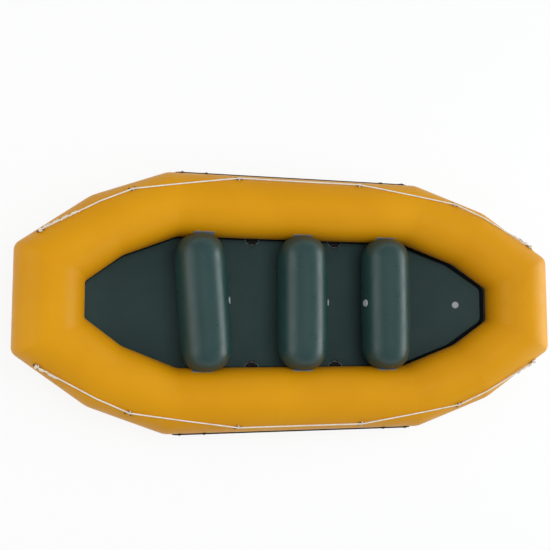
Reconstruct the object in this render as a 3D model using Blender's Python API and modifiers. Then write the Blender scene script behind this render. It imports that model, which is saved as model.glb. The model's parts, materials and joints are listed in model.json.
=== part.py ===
"""Whitewater paddle raft: four mitred tube chambers, an air floor, three thwarts, valves, rings and grab lines.

Metres. +X points to the bow, +Y to port and +Z up. The origin lies under the middle of the raft, on the ground.
"""

import math

import bmesh
import bpy
from mathutils import Matrix, Vector

# Main tubes
tube_radius = 0.25
side_centre_y = 0.765
end_centre_x = 1.90
first_bend_x = 1.00
second_bend_x = 1.505
second_bend_y = 0.56
second_bend_rise = 0.10
end_corner_y = 0.259
end_rise = 0.19
chamber_split_x = -0.200
tube_sides = 32

# Clearances, and the least angle at which an edge is drawn sharp
fit_gap = 0.0003
cut_overrun = 0.02
sharp_angle = math.radians(35)

# Baffles between the chambers
baffle_inset = 0.006
baffle_thickness = 0.0012
baffle_sides = 20

# Air floor
floor_underside = 0.022
floor_thickness = 0.10
floor_edge_inset = 0.165
floor_edge_bevel = 0.018
floor_bevel_segments = 1
rim_angle = math.radians(60)
rocker_start_x = 0.95
rocker_power = 1.6
rocker_facets = 7

# Thwarts
thwart_radius = 0.203
thwart_floor_gap = 0.008
thwart_dome_depth = 0.135
thwart_squash = 0.02
thwart_sides = 24
thwart_dome_steps = 4
thwart_bow_x = 0.757
thwart_middle_x = 0.040
thwart_stern_x = -0.762
thwart_stern_skew = math.radians(2.4)

# Patches that the thwart ends press on
thwart_patch_length = 0.165
thwart_patch_thickness = 0.002
thwart_patch_low = math.radians(-30)
thwart_patch_high = math.radians(28)
patch_corner = 0.014
patch_corner_segments = 2
round_profile = 0.5
patch_root = 0.002

# Rings, and the patch and webbing loop that hold each one
ring_wire_radius = 0.003
ring_half_width = 0.028
ring_leg = 0.012
ring_arc_steps = 6
loop_wall = 0.0022
loop_length = 0.030
loop_clearance = 0.0006
loop_sides = 8
line_patch_length = 0.095
line_patch_width = 0.070
line_patch_thickness = 0.0025
line_ring_run_shares = ((0, 0.50), (1, 0.57), (2, 0.88))
line_ring_elevations = (math.radians(36), math.radians(42), math.radians(30))
floor_patch_radius = 0.032
floor_patch_thickness = 0.002
floor_patch_sides = 16
floor_ring_inset = 0.010
floor_ring_bow_x = 0.385
floor_ring_stern_x = -0.330

# Grab line: its route over the bow port quarter, from amidships to the knot at the last ring
line_radius = 0.0055
line_points = 79
grab_line_half_route = [
    (0.000, 0.963, 0.416),
    (0.250, 0.960, 0.420),
    (0.440, 0.955, 0.431),
    (0.500, 0.9615, 0.4375),
    (0.570, 0.949, 0.437),
    (0.750, 0.926, 0.453),
    (0.900, 0.903, 0.469),
    (1.004, 0.891, 0.476),
    (1.112, 0.859, 0.490),
    (1.212, 0.840, 0.498),
    (1.319, 0.8235, 0.509),
    (1.408, 0.769, 0.531),
    (1.552, 0.716, 0.552),
    (1.679, 0.641, 0.565),
    (1.827, 0.558, 0.574),
    (1.959, 0.4828, 0.5917),
    (1.981, 0.450, 0.605),
]

# Rub strakes on the straight sides
strake_length = 1.97
strake_thickness = 0.010
strake_facets = 2
strake_rib = 0.003

# Carry handles
handle_x = 0.835
handle_span = 0.190
handle_pad_turn = math.tau / tube_sides
handle_pad_length = 0.024
handle_pad_width = 0.030
handle_pad_thickness = 0.010
handle_strap_width = 0.020
handle_strap_thickness = 0.003
handle_grip_radius = 0.013
handle_grip_overhang = 0.014
handle_grip_ease = 0.004
handle_grip_turn = math.radians(-34)
handle_finger_gap = 0.034
handle_grip_sides = 12

# Valves
flange_radius = 0.029
flange_proud = 0.0015
flange_seat_depth = 0.0025
barrel_radius = 0.0205
barrel_depth = 0.027
valve_bore_radius = 0.0165
seat_bore_radius = 0.011
seat_depth = 0.0175
seat_thickness = 0.003
cap_radius = 0.027
cap_height = 0.0047
cap_chamfer = 0.0015
cap_skirt_depth = 0.006
cap_skirt_wall = 0.0027
cap_roof = 0.0035
grip_recess_radius = 0.0185
grip_recess_depth = 0.0022
grip_bar_width = 0.007
poppet_radius = 0.0150
poppet_thickness = 0.003
stem_radius = 0.004
button_radius = 0.008
button_top_depth = 0.0085
button_thickness = 0.004
plunger_travel = 0.004
valve_sides = 12
plunger_sides = 8
thwart_valve_elevation = math.radians(14)
chamber_valve_run_share = 0.5
chamber_valve_elevation = math.radians(200)
floor_valve_facet = 4

up = Vector((0, 0, 1))
parts = bpy.data.collections.new("Whitewater raft")
cutters = bpy.data.collections.new("Cutters")


def clear_scene():
    for thing in list(bpy.data.objects):
        bpy.data.objects.remove(thing, do_unlink=True)
    bpy.context.scene.collection.children.link(parts)
    bpy.context.scene.collection.children.link(cutters)


def make_material(name, color, roughness, metallic=0.0):
    made = bpy.data.materials.new(name)
    made.use_nodes = True
    shader = made.node_tree.nodes["Principled BSDF"]
    shader.inputs["Base Color"].default_value = (*color, 1)
    shader.inputs["Roughness"].default_value = roughness
    shader.inputs["Metallic"].default_value = metallic
    return made


def link_part(name, mesh, material, place=Matrix.Identity(4)):
    thing = bpy.data.objects.new(name, mesh)
    thing.matrix_world = place
    if not mesh.materials:
        mesh.materials.append(material)
    parts.objects.link(thing)
    return thing


def link_cutter(name, mesh, place=Matrix.Identity(4)):
    thing = bpy.data.objects.new(name, mesh)
    thing.matrix_world = place
    thing.hide_render = True
    thing.display_type = "WIRE"
    cutters.objects.link(thing)
    return thing


def mesh_from(bm, name):
    bmesh.ops.recalc_face_normals(bm, faces=bm.faces)
    mesh = bpy.data.meshes.new(name)
    bm.to_mesh(mesh)
    bm.free()
    mesh.shade_smooth()
    mesh.set_sharp_from_angle(angle=sharp_angle)
    return mesh


def combine(target, other, operation):
    step = target.modifiers.new(f"{operation.lower()} {other.name}", "BOOLEAN")
    step.operation = operation
    step.solver = "EXACT"
    step.material_mode = "TRANSFER"
    step.object = other


def settled_mesh(thing):
    """The mesh of an object with its modifiers applied and its caps welded; the object is removed."""
    bpy.context.view_layer.update()
    graph = bpy.context.evaluated_depsgraph_get()
    mesh = bpy.data.meshes.new_from_object(thing.evaluated_get(graph))
    mesh.name = thing.name
    bpy.data.objects.remove(thing, do_unlink=True)
    bm = bmesh.new()
    bm.from_mesh(mesh)
    bmesh.ops.remove_doubles(bm, verts=bm.verts, dist=fit_gap / 10)
    bmesh.ops.recalc_face_normals(bm, faces=bm.faces)
    bm.to_mesh(mesh)
    bm.free()
    mesh.shade_smooth()
    mesh.set_sharp_from_angle(angle=sharp_angle)
    return mesh


def turned(name, profile, sides):
    """A profile at +X, listed down its outer side, turned about Z."""
    closed = profile[0][0] > 0
    mesh = bpy.data.meshes.new(name)
    edges = [(k, k + 1) for k in range(len(profile) - 1)]
    if closed:
        edges.append((len(profile) - 1, 0))
    mesh.from_pydata([(radius, 0, height) for radius, height in profile], edges, [])
    thing = bpy.data.objects.new(name, mesh)
    parts.objects.link(thing)
    turn = thing.modifiers.new("Turn", "SCREW")
    turn.axis = "Z"
    turn.angle = math.tau
    turn.steps = sides
    turn.render_steps = sides
    turn.use_merge_vertices = True
    turn.merge_threshold = fit_gap / 10
    return settled_mesh(thing)


def cylinder_mesh(name, radius, length, sides, along=up):
    bm = bmesh.new()
    bmesh.ops.create_cone(
        bm, cap_ends=True, segments=sides, radius1=radius, radius2=radius, depth=length,
        matrix=up.rotation_difference(along).to_matrix().to_4x4(),
    )
    return mesh_from(bm, name)


def wire_mesh(name, points, radius, resolution, closed=False):
    """A round wire through the points, with filled ends."""
    curve = bpy.data.curves.new(name, "CURVE")
    curve.dimensions = "3D"
    curve.bevel_depth = radius
    curve.bevel_resolution = resolution
    curve.use_fill_caps = not closed
    spline = curve.splines.new("POLY")
    spline.points.add(len(points) - 1)
    for target, point in zip(spline.points, points):
        target.co = (*point, 1)
    spline.use_cyclic_u = closed
    thing = bpy.data.objects.new(name, curve)
    parts.objects.link(thing)
    return settled_mesh(thing)


def smooth_points(route, count):
    """Points read at even steps from a smooth curve through the route."""
    ends = [2 * route[0] - route[1], *route, 2 * route[-1] - route[-2]]
    fine = []
    steps = 24
    for k in range(1, len(ends) - 2):
        a, b, c, d = ends[k - 1:k + 3]
        for step in range(steps):
            t = step / steps
            fine.append(
                (2 * b + (c - a) * t + (2 * a - 5 * b + 4 * c - d) * t**2 + (3 * b - a - 3 * c + d) * t**3) / 2
            )
    fine.append(route[-1])
    reached = [0.0]
    for a, b in zip(fine, fine[1:]):
        reached.append(reached[-1] + (b - a).length)
    points = []
    k = 0
    for number in range(count):
        wanted = reached[-1] * number / (count - 1)
        while k < len(fine) - 2 and reached[k + 1] < wanted:
            k += 1
        share = (wanted - reached[k]) / (reached[k + 1] - reached[k])
        points.append(fine[k].lerp(fine[k + 1], share))
    return points


def quarter_path(start_x=0.0, end_y=0.0):
    """Centreline corners of the bow port quarter, from the side to the middle of the bow."""
    return [
        Vector((start_x, side_centre_y, tube_radius)),
        Vector((first_bend_x, side_centre_y, tube_radius)),
        Vector((second_bend_x, second_bend_y, tube_radius + second_bend_rise)),
        Vector((end_centre_x, end_corner_y, tube_radius + end_rise)),
        Vector((end_centre_x, end_y, tube_radius + end_rise)),
    ]


def reflected(point, x_sign, y_sign):
    return Vector((point.x * x_sign, point.y * y_sign, point.z))


def chamber_path(x_sign, y_sign, gap):
    """Centreline of one chamber, its two ends held back from their joints by the gap."""
    start_x = x_sign * chamber_split_x + gap
    return [reflected(point, x_sign, y_sign) for point in quarter_path(start_x, gap)]


def tube_mesh(name, path, radius):
    """A flat-bottomed polygon carried along the path, cut at the mitre plane of each bend."""
    runs = [(b - a).normalized() for a, b in zip(path, path[1:])]
    half_step = math.pi / tube_sides
    bm = bmesh.new()
    bmesh.ops.create_circle(bm, cap_ends=True, segments=tube_sides, radius=radius / math.cos(half_step))
    face = bm.faces[:][0]
    section = {vertex: Matrix.Rotation(half_step, 3, "Z") @ vertex.co for vertex in face.verts}
    place_section(section, path[0], runs[0], runs[0])
    for k, run in enumerate(runs):
        grown = bmesh.ops.extrude_face_region(bm, geom=[face])["geom"]
        if k > 0:
            bm.faces.remove(face)
        face = next(item for item in grown if isinstance(item, bmesh.types.BMFace))
        next_section = {}
        for vertex in face.verts:
            below = next(edge.other_vert(vertex) for edge in vertex.link_edges if edge.other_vert(vertex) in section)
            next_section[vertex] = section[below]
        section = next_section
        place_section(section, path[k + 1], run, run + runs[min(k + 1, len(runs) - 1)])
    bmesh.ops.triangulate(bm, faces=bm.faces[:], quad_method="FIXED")
    return mesh_from(bm, name)


def place_section(section, centre, run, plane):
    """Puts each corner of the polygon, kept upright about the run, on the plane through the centre."""
    across = up.cross(run).normalized()
    upright = run.cross(across)
    for vertex, corner in section.items():
        offset = across * corner.x + upright * corner.y
        vertex.co = centre + offset - run * (offset.dot(plane) / run.dot(plane))


def seat_matrix(origin, normal, crownward):
    z = normal.normalized()
    x = crownward.cross(z).normalized()
    y = z.cross(x)
    return Matrix.Translation(origin) @ Matrix((x, y, z)).transposed().to_4x4()


def tube_seat(run, share, elevation, x_sign, y_sign):
    """A place on the tube's skin: Z along the normal and Y towards the crown of the tube."""
    path = quarter_path()
    start, end = path[run], path[run + 1]
    along = (end - start).normalized()
    outward = up.cross(along).normalized()
    upright = along.cross(outward)
    normal = outward * math.cos(elevation) + upright * math.sin(elevation)
    crownward = upright * math.cos(elevation) - outward * math.sin(elevation)
    if math.cos(elevation) < 0:
        crownward = -crownward
    origin = start.lerp(end, share) + normal * tube_radius
    return seat_matrix(
        reflected(origin, x_sign, y_sign), reflected(normal, x_sign, y_sign), reflected(crownward, x_sign, y_sign)
    )


def lifted(height):
    return Matrix.Translation((0, 0, height))


def curved_patch_mesh(name, length, arc, thickness):
    """A plate bent round the main tube, with rounded corners; its root reaches below the skin."""
    steps = max(2, round(arc / (math.tau / tube_sides)))
    inner = tube_radius - patch_root
    outer = tube_radius / math.cos(math.pi / tube_sides) + thickness
    width = arc * tube_radius
    bm = bmesh.new()
    bmesh.ops.create_grid(bm, x_segments=1, y_segments=1, size=1)
    for vertex in bm.verts:
        vertex.co.x *= length / 2
        vertex.co.y *= width / 2
    bmesh.ops.bevel(
        bm, geom=bm.verts[:], affect="VERTICES", offset=patch_corner, offset_type="OFFSET",
        segments=patch_corner_segments, profile=round_profile,
    )
    for step in range(1, steps):
        height = width * (step / steps - 0.5)
        bmesh.ops.bisect_plane(
            bm, geom=bm.verts[:] + bm.edges[:] + bm.faces[:], plane_co=(0, height, 0), plane_no=(0, 1, 0)
        )
    for vertex in bm.verts:
        turn = vertex.co.y / tube_radius
        vertex.co.y = inner * math.sin(turn)
        vertex.co.z = inner * math.cos(turn) - tube_radius
    base = bm.faces[:]
    for face in base:
        if face.normal.z < 0:
            face.normal_flip()
    grown = bmesh.ops.extrude_face_region(bm, geom=base)["geom"]
    axis = Vector((0, 0, -tube_radius))
    for vertex in (item for item in grown if isinstance(item, bmesh.types.BMVert)):
        spoke = vertex.co - axis
        spoke.x = 0
        vertex.co += spoke.normalized() * (outer - inner)
    bmesh.ops.triangulate(bm, faces=bm.faces[:])
    return mesh_from(bm, name)


def loop_heights(patch_thickness):
    """Height of the ring's bar above the seat, and the outer and bore radius of the loop round it."""
    bore = ring_wire_radius + loop_clearance
    outer = bore + loop_wall
    return patch_thickness + bore + fit_gap, outer, bore


def add_ring_loop(target, label, seat, patch_thickness):
    """Webbing folded over the ring's bar, joined to the patch below it."""
    height, outer, bore = loop_heights(patch_thickness)
    along = Vector((1, 0, 0))
    place = seat @ lifted(height)
    loop = link_cutter(f"{label} loop", cylinder_mesh("loop", outer, loop_length, loop_sides, along), place)
    hole = link_cutter(
        f"{label} loop bore",
        cylinder_mesh("loop bore", bore, loop_length + 2 * cut_overrun, loop_sides, along),
        place,
    )
    combine(target, loop, "UNION")
    combine(target, hole, "DIFFERENCE")


def ring_mesh():
    """A D-shaped wire ring: its bar along X, its bow towards +Y."""
    points = [Vector((-ring_half_width, 0, 0)), Vector((ring_half_width, 0, 0))]
    for step in range(ring_arc_steps + 1):
        turn = math.pi * step / ring_arc_steps
        points.append(
            Vector((ring_half_width * math.cos(turn), ring_leg + ring_half_width * math.sin(turn), 0))
        )
    return wire_mesh("ring", points, ring_wire_radius, 1, closed=True)


def line_ring_seats(x_sign, y_sign):
    return [
        tube_seat(run, share, elevation, x_sign, y_sign)
        for (run, share), elevation in zip(line_ring_run_shares, line_ring_elevations)
    ]


def pocket_mesh():
    """The hole for a valve: a shallow round seat for the flange over a deeper one for the barrel."""
    seat_radius = flange_radius + fit_gap
    barrel = barrel_radius + fit_gap
    floor_depth = barrel_depth + plunger_travel + poppet_thickness
    return turned("valve pocket", [
        (0, cut_overrun), (seat_radius, cut_overrun), (seat_radius, -flange_seat_depth),
        (barrel, -flange_seat_depth), (barrel, -floor_depth), (0, -floor_depth),
    ], valve_sides)


def valve_body_mesh():
    bottom = seat_depth + seat_thickness
    return turned("valve body", [
        (valve_bore_radius, flange_proud),
        (flange_radius - flange_proud, flange_proud), (flange_radius, 0),
        (flange_radius, fit_gap - flange_seat_depth), (barrel_radius, fit_gap - flange_seat_depth),
        (barrel_radius, -barrel_depth), (valve_bore_radius, -barrel_depth), (valve_bore_radius, -bottom),
        (seat_bore_radius, -bottom), (seat_bore_radius, -seat_depth), (valve_bore_radius, -seat_depth),
    ], valve_sides)


def valve_plunger_mesh():
    top = -button_top_depth
    poppet_top = -(seat_depth + seat_thickness + fit_gap)
    return turned("valve plunger", [
        (0, top), (button_radius, top), (button_radius, top - button_thickness),
        (stem_radius, top - button_thickness), (stem_radius, poppet_top), (poppet_radius, poppet_top),
        (poppet_radius, poppet_top - poppet_thickness), (0, poppet_top - poppet_thickness),
    ], plunger_sides)


def half_disc_cutter_mesh():
    """Two half discs either side of the cap's grip bar."""
    bm = bmesh.new()
    for side in (-1, 1):
        made = bmesh.ops.create_cone(
            bm, cap_ends=True, segments=valve_sides, radius1=grip_recess_radius, radius2=grip_recess_radius,
            depth=2 * grip_recess_depth,
        )["verts"]
        faces = list({face for vertex in made for face in vertex.link_faces})
        edges = list({edge for vertex in made for edge in vertex.link_edges})
        cut = bmesh.ops.bisect_plane(
            bm, geom=made + edges + faces, plane_co=(0, side * grip_bar_width / 2, 0), plane_no=(0, side, 0),
            clear_inner=True,
        )["geom_cut"]
        bmesh.ops.contextual_create(bm, geom=[item for item in cut if isinstance(item, bmesh.types.BMEdge)])
    return mesh_from(bm, "grip recess")


def valve_cap_mesh():
    base = flange_proud + fit_gap
    top = base + cap_height
    skirt = valve_bore_radius * math.cos(math.pi / valve_sides) - fit_gap
    blank = turned("valve cap", [
        (0, top), (cap_radius - cap_chamfer, top), (cap_radius, top - cap_chamfer), (cap_radius, base),
        (skirt, base), (skirt, -cap_skirt_depth), (skirt - cap_skirt_wall, -cap_skirt_depth),
        (skirt - cap_skirt_wall, top - cap_roof), (0, top - cap_roof),
    ], valve_sides)
    cap = bpy.data.objects.new("cap blank", blank)
    parts.objects.link(cap)
    combine(cap, link_cutter("grip recess", half_disc_cutter_mesh(), lifted(top)), "DIFFERENCE")
    return settled_mesh(cap)


def rocker(x):
    """Rise of the air floor at x, which follows the kick of the tubes."""
    end = end_centre_x - floor_edge_inset
    past = max(0.0, abs(x) - rocker_start_x)
    return end_rise * (past / (end - rocker_start_x)) ** rocker_power


def rocker_station(number):
    end = end_centre_x - floor_edge_inset
    return rocker_start_x + (end - rocker_start_x) * number / rocker_facets


def floor_outline():
    """Corners of the floor in plan: the centreline of the tubes drawn in by the inset."""
    path = [Vector((point.x, point.y)) for point in quarter_path()]
    corners = []
    for a, b, c in zip(path, path[1:], path[2:]):
        first, second = (b - a).normalized(), (c - b).normalized()
        inward = Vector((first.y, -first.x)) + Vector((second.y, -second.x))
        inward.normalize()
        corners.append(b + inward * floor_edge_inset / inward.dot(Vector((first.y, -first.x))))
    bow = [(x, y) for x, y in corners]
    outline = bow + [(x, -y) for x, y in reversed(bow)]
    return outline + [(-x, -y) for x, y in bow] + [(-x, y) for x, y in reversed(bow)]


def grown_tube_cutters(against, extra):
    """The four chambers grown by a clearance and run past their ends."""
    made = []
    for end, x_sign in (("bow", 1), ("stern", -1)):
        for side, y_sign in (("port", 1), ("starboard", -1)):
            name = f"{end} {side} tube against {against}"
            path = chamber_path(x_sign, y_sign, fit_gap / 2)
            before = path[0] + (path[0] - path[1]).normalized() * cut_overrun
            after = path[-1] + (path[-1] - path[-2]).normalized() * cut_overrun
            made.append(link_cutter(name, tube_mesh(name, [before, *path, after], tube_radius + extra)))
    return made


def floor_valve_seat():
    """The middle of one sloping facet of the floor, square to it."""
    low, high = rocker_station(floor_valve_facet), rocker_station(floor_valve_facet + 1)
    slope = (rocker(high) - rocker(low)) / (high - low)
    height = floor_underside + floor_thickness + (rocker(low) + rocker(high)) / 2
    return seat_matrix(Vector(((low + high) / 2, 0, height)), Vector((-slope, 0, 1)), Vector((0, 1, 0)))


def floor_ring_y():
    return side_centre_y - tube_radius - floor_ring_inset


def thwart_height():
    return floor_underside + floor_thickness + thwart_floor_gap + thwart_radius


def thwart_place(x, skew):
    return Matrix.Translation((x, 0, thwart_height())) @ Matrix.Rotation(skew, 4, "Z")


def thwart_valve_seat(x, skew, side):
    normal = Vector((side * math.cos(thwart_valve_elevation), 0, math.sin(thwart_valve_elevation)))
    crownward = Vector((-side * math.sin(thwart_valve_elevation), 0, math.cos(thwart_valve_elevation)))
    return thwart_place(x, skew) @ seat_matrix(normal * thwart_radius, normal, crownward)


def add_valve(label, seat, meshes, materials):
    for piece in ("body", "plunger", "cap"):
        link_part(f"valve_{piece}_{label}", meshes[piece], materials[piece], seat)


def build_tubes(materials, pocket):
    """Four chambers with their ring patches, thwart patches, valve pockets and baffle recesses."""
    ring_patch = curved_patch_mesh("line patch", line_patch_length, line_patch_width / tube_radius, line_patch_thickness)
    ring_patch.materials.append(materials["tube"])
    arc = thwart_patch_high - thwart_patch_low
    thwart_patch = curved_patch_mesh("thwart patch", thwart_patch_length, arc, thwart_patch_thickness)
    thwart_patch.materials.append(materials["patch"])
    recess_radius = tube_radius - baffle_inset + fit_gap
    recess_length = 2 * (fit_gap / 2 + baffle_thickness + fit_gap)
    for end, x_sign in (("bow", 1), ("stern", -1)):
        for side, y_sign in (("port", 1), ("starboard", -1)):
            label = f"{end}_{side}"
            path = chamber_path(x_sign, y_sign, fit_gap / 2)
            tube = link_part(f"tube_{label}", tube_mesh(label, path, tube_radius), materials["tube"])
            tube.data.materials.append(materials["patch"])
            for number, seat in enumerate(line_ring_seats(x_sign, y_sign), start=1):
                patch = link_cutter(f"{label} line patch {number}", ring_patch, seat)
                combine(tube, patch, "UNION")
                add_ring_loop(tube, f"{label} {number}", seat, line_patch_thickness)
            for x in thwart_patch_places(x_sign):
                elevation = math.pi - (thwart_patch_low + thwart_patch_high) / 2
                middle = tube_seat(0, x * x_sign / first_bend_x, elevation, x_sign, y_sign)
                combine(tube, link_cutter(f"{label} thwart patch {x:.2f}", thwart_patch, middle), "UNION")
            seat = tube_seat(1, chamber_valve_run_share, chamber_valve_elevation, x_sign, y_sign)
            combine(tube, link_cutter(f"{label} valve pocket", pocket, seat), "DIFFERENCE")
            if x_sign > 0:
                disc = cylinder_mesh("recess", recess_radius, recess_length, baffle_sides, Vector((1, 0, 0)))
                place = Matrix.Translation((chamber_split_x, y_sign * side_centre_y, tube_radius))
                combine(tube, link_cutter(f"{label} middle recess", disc, place), "DIFFERENCE")
            if y_sign > 0:
                disc = cylinder_mesh("recess", recess_radius, recess_length, baffle_sides, Vector((0, 1, 0)))
                place = Matrix.Translation((x_sign * end_centre_x, 0, tube_radius + end_rise))
                combine(tube, link_cutter(f"{label} end recess", disc, place), "DIFFERENCE")


def thwart_patch_places(x_sign):
    places = (thwart_bow_x, thwart_middle_x, thwart_stern_x)
    return [x for x in places if (x - chamber_split_x) * x_sign > 0]


def build_baffles(material):
    middle = fit_gap / 2 + baffle_thickness / 2
    radius = tube_radius - baffle_inset
    for side, y_sign in (("port", 1), ("starboard", -1)):
        disc = cylinder_mesh("baffle", radius, baffle_thickness, baffle_sides, Vector((1, 0, 0)))
        place = Matrix.Translation((chamber_split_x + middle, y_sign * side_centre_y, tube_radius))
        link_part(f"baffle_{side}", disc, material, place)
    for end, x_sign in (("bow", 1), ("stern", -1)):
        disc = cylinder_mesh("baffle", radius, baffle_thickness, baffle_sides, Vector((0, 1, 0)))
        place = Matrix.Translation((x_sign * end_centre_x, middle, tube_radius + end_rise))
        link_part(f"baffle_{end}", disc, material, place)


def build_floor(material, pocket, pressing_tubes):
    """An air floor with bevelled rims, raised at its ends and pressed against the tubes."""
    outline = floor_outline()
    curve = bpy.data.curves.new("floor", "CURVE")
    curve.dimensions = "2D"
    curve.fill_mode = "BOTH"
    curve.extrude = floor_thickness / 2
    spline = curve.splines.new("POLY")
    spline.points.add(len(outline) - 1)
    for point, (x, y) in zip(spline.points, outline):
        point.co = (x, y, 0, 1)
    spline.use_cyclic_u = True
    blank = bpy.data.objects.new("floor", curve)
    parts.objects.link(blank)
    slab = bpy.data.objects.new("floor slab", settled_mesh(blank))
    parts.objects.link(slab)
    rim = slab.modifiers.new("Rim", "BEVEL")
    rim.width = floor_edge_bevel
    rim.segments = floor_bevel_segments
    rim.limit_method = "ANGLE"
    rim.angle_limit = rim_angle
    mesh = settled_mesh(slab)
    bm = bmesh.new()
    bm.from_mesh(mesh)
    for number in range(rocker_facets):
        for side in (-1, 1):
            bmesh.ops.bisect_plane(
                bm, geom=bm.verts[:] + bm.edges[:] + bm.faces[:],
                plane_co=(side * rocker_station(number), 0, 0), plane_no=(1, 0, 0),
            )
    for vertex in bm.verts:
        vertex.co.z += floor_underside + floor_thickness / 2 + rocker(vertex.co.x)
    bmesh.ops.triangulate(bm, faces=bm.faces[:])
    floor = link_part("floor", mesh_from(bm, "floor"), material)
    for tube in pressing_tubes:
        combine(floor, tube, "DIFFERENCE")
    seats = floor_ring_seats()
    disc = cylinder_mesh("floor patch", floor_patch_radius, 2 * floor_patch_thickness, floor_patch_sides)
    for label, seat in seats.items():
        combine(floor, link_cutter(f"floor patch {label}", disc, seat), "UNION")
        add_ring_loop(floor, f"floor {label}", seat, floor_patch_thickness)
    combine(floor, link_cutter("floor valve pocket", pocket, floor_valve_seat()), "DIFFERENCE")


def floor_ring_seats():
    """Each ring's bar lies fore and aft, with its bow inboard."""
    deck = floor_underside + floor_thickness
    seats = {}
    for end, x in (("bow", floor_ring_bow_x), ("stern", floor_ring_stern_x)):
        for side, y_sign in (("port", 1), ("starboard", -1)):
            origin = Vector((x, y_sign * floor_ring_y(), deck))
            seats[f"{end}_{side}"] = seat_matrix(origin, up, Vector((0, -y_sign, 0)))
    return seats


def thwart_mesh():
    """A cylinder with domed ends, its axis along Y."""
    reach = side_centre_y - math.sqrt(tube_radius**2 - (thwart_height() - tube_radius) ** 2) + thwart_squash
    shoulder = reach - thwart_dome_depth
    dome = []
    for step in range(thwart_dome_steps + 1):
        turn = math.pi / 2 * step / thwart_dome_steps
        dome.append((thwart_radius * math.sin(turn), shoulder + thwart_dome_depth * math.cos(turn)))
    dome[0] = (0, reach)
    profile = dome + [(radius, -height) for radius, height in reversed(dome)]
    mesh = turned("thwart", profile, thwart_sides)
    mesh.transform(Matrix.Rotation(math.pi / 2, 4, "X"))
    return mesh


def build_thwarts(material, pocket, pressing_tubes):
    places = {
        "bow": (thwart_bow_x, 0, -1),
        "middle": (thwart_middle_x, 0, 1),
        "stern": (thwart_stern_x, thwart_stern_skew, 1),
    }
    seats = {}
    for label, (x, skew, side) in places.items():
        thwart = link_part(f"thwart_{label}", thwart_mesh(), material, thwart_place(x, skew))
        for tube in pressing_tubes:
            combine(thwart, tube, "DIFFERENCE")
        seats[label] = thwart_valve_seat(x, skew, side)
        combine(thwart, link_cutter(f"thwart {label} valve pocket", pocket, seats[label]), "DIFFERENCE")
    return seats


def build_rings(material):
    ring = ring_mesh()
    height = loop_heights(line_patch_thickness)[0]
    floor_height = loop_heights(floor_patch_thickness)[0]
    for end, x_sign in (("bow", 1), ("stern", -1)):
        for side, y_sign in (("port", 1), ("starboard", -1)):
            for number, seat in enumerate(line_ring_seats(x_sign, y_sign), start=1):
                link_part(f"line_ring_{end}_{side}_{number}", ring, material, seat @ lifted(height))
    for label, seat in floor_ring_seats().items():
        link_part(f"floor_ring_{label}", ring, material, seat @ lifted(floor_height))


def build_grab_lines(material):
    bow = [Vector(point) for point in grab_line_half_route]
    route = [reflected(point, -1, 1) for point in bow[:0:-1]] + bow
    for side, y_sign in (("port", 1), ("starboard", -1)):
        points = smooth_points([reflected(point, 1, y_sign) for point in route], line_points)
        link_part(f"grab_line_{side}", wire_mesh("grab line", points, line_radius, 2), material)


def edge_turn(edge):
    """How far a long edge of the tube lies above its equator, with edge 0 the first one below it."""
    return (2 * edge - 1) * math.pi / tube_sides


def corner_radius(stand_off):
    """Distance from the tube's axis to an edge of the skin, or of a layer that stands off its faces."""
    return (tube_radius + stand_off) / math.cos(math.pi / tube_sides)


def beside_tube(turn, radius, y_sign):
    """A (y, z) point beside the straight tube, by its turn above the equator and its distance from the axis."""
    return y_sign * (side_centre_y + radius * math.cos(turn)), tube_radius + radius * math.sin(turn)


def strip_mesh(name, outline, length):
    """A (y, z) outline carried along X."""
    curve = bpy.data.curves.new(name, "CURVE")
    curve.dimensions = "2D"
    curve.fill_mode = "BOTH"
    curve.extrude = length / 2
    spline = curve.splines.new("POLY")
    spline.points.add(len(outline) - 1)
    for point, (y, z) in zip(spline.points, outline):
        point.co = (y, z, 0, 1)
    spline.use_cyclic_u = True
    blank = bpy.data.objects.new(name, curve)
    parts.objects.link(blank)
    mesh = settled_mesh(blank)
    mesh.transform(Matrix(((0, 0, 1, 0), (1, 0, 0, 0), (0, 1, 0, 0), (0, 0, 0, 1))))
    return mesh


def build_strakes(material):
    """A ribbed rubber strip over two facets of each straight side."""
    for side, y_sign in (("port", 1), ("starboard", -1)):
        edges = range(1 - strake_facets, 2)
        inner = [beside_tube(edge_turn(edge), corner_radius(fit_gap), y_sign) for edge in edges]
        outer = []
        steps = 2 * strake_facets
        for step in range(steps + 1):
            edge = edges[0] + strake_facets * (step + 1) / (steps + 2)
            height = strake_thickness if step % 2 else strake_thickness - strake_rib
            outer.append(beside_tube(edge_turn(edge), corner_radius(height), y_sign))
        mesh = strip_mesh("strake", inner + outer[::-1], strake_length)
        link_part(f"rub_strake_{side}", mesh, material)


def handle_strap_mesh(y_sign):
    """A strap from the pad, over the strake and down to the grip."""
    over_strake = (corner_radius(strake_thickness) + fit_gap) / math.cos(math.pi / tube_sides)
    line = [(handle_pad_turn, tube_radius + handle_pad_thickness - handle_strap_thickness)]
    for edge in range(1, -strake_facets, -1):
        line.append((edge_turn(edge), over_strake))
    line.append((handle_grip_turn, handle_grip_stand_off() - handle_strap_thickness / 2))
    inner = [beside_tube(turn, radius, y_sign) for turn, radius in line]
    outer = [beside_tube(turn, radius + handle_strap_thickness, y_sign) for turn, radius in line]
    return strip_mesh("handle strap", inner + outer[::-1], handle_strap_width)


def handle_grip_stand_off():
    return tube_radius + handle_finger_gap + handle_grip_radius


def handle_grip_mesh():
    """A round grip along X with eased ends."""
    reach = handle_span / 2 + handle_strap_width / 2 + handle_grip_overhang
    shoulder = reach - handle_grip_ease
    neck = handle_grip_radius - handle_grip_ease
    mesh = turned("handle grip", [
        (0, reach), (neck, reach), (handle_grip_radius, shoulder), (handle_grip_radius, -shoulder),
        (neck, -reach), (0, -reach),
    ], handle_grip_sides)
    mesh.transform(Matrix.Rotation(math.pi / 2, 4, "Y"))
    return mesh


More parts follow.
